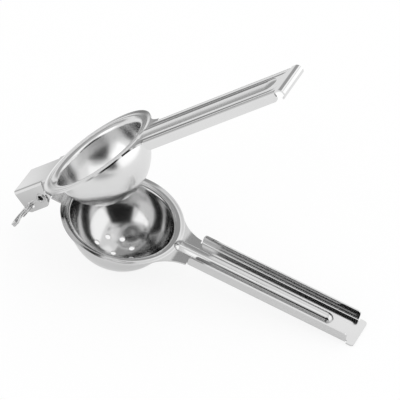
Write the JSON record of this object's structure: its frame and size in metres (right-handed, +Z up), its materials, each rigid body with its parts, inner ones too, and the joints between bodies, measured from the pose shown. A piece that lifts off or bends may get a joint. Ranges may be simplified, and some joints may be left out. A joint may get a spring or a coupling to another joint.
{
  "type": "hinged citrus squeezer",
  "caption": "Hand squeezer of pressed steel: a cup on a hinged handle swings down into a strainer bowl, and a split ring hangs from the hinge.",
  "frame": {"origin": "centre of the bounding box in plan, on the surface that the bowl and the tip of the lower handle rest on", "axes": "+X from the hinge towards the ends of the handles, +Z up, +Y to the left of the handles"},
  "size_m": [0.2119, 0.073, 0.1679],
  "materials": {
    "strainer_steel": "polished stainless steel sheet",
    "press_steel": "polished stainless steel sheet",
    "pin_steel": "turned steel with rolled ends",
    "ring_steel": "bright wire"
  },
  "bodies": {
    "strainer": {"strainer_arm": "strainer_steel"},
    "press": {"press_arm": "press_steel", "hinge_pin": "pin_steel"},
    "ring": {"hanging_ring": "ring_steel"}
  },
  "joints": [
    {"name": "press_hinge", "type": "hinge", "parent": "strainer", "child": "press", "pos_m": [-0.08829, 0, 0.03747], "axis": [0, -1, 0], "range_deg": [-50, 50]},
    {"name": "ring_swing", "type": "hinge", "parent": "press", "child": "ring", "pos_m": [-0.0946, -0.0116, 0.02941], "axis": [0, -1, 0], "range_deg": [-70, 38]}
  ]
}
